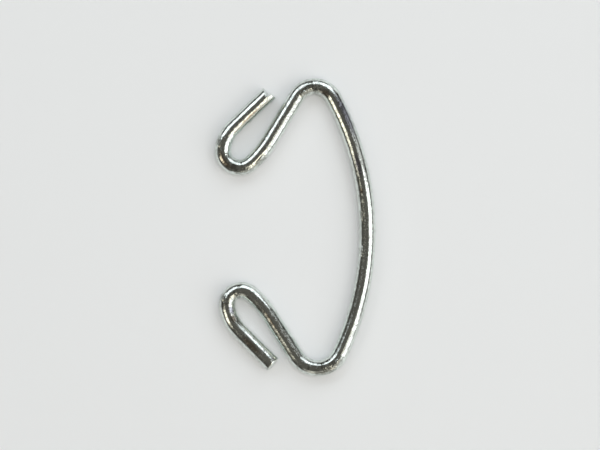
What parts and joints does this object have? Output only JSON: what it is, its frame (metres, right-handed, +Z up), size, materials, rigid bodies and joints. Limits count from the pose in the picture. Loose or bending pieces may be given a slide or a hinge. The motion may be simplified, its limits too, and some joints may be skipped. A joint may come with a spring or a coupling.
{
  "type": "retaining clip",
  "caption": "Spring-wire retaining clip: a shallow bow with rounded shoulders and straight arms that end in open return hooks, in bright zinc-plated steel.",
  "frame": {"origin": "under the middle of the clip's outline, on the surface that it lies flat on", "axes": "+Z up through the wire's thickness, +Y along the clip from the lower hook to the upper hook, +X from the hooks to the crown of the bow"},
  "size_m": [0.0142, 0.0264, 0.0014],
  "materials": {
    "zinc_plated_wire": "bright clear-passivated zinc plate over drawn steel spring wire"
  },
  "bodies": {
    "root": {"retaining_clip": "zinc_plated_wire"}
  },
  "joints": []
}
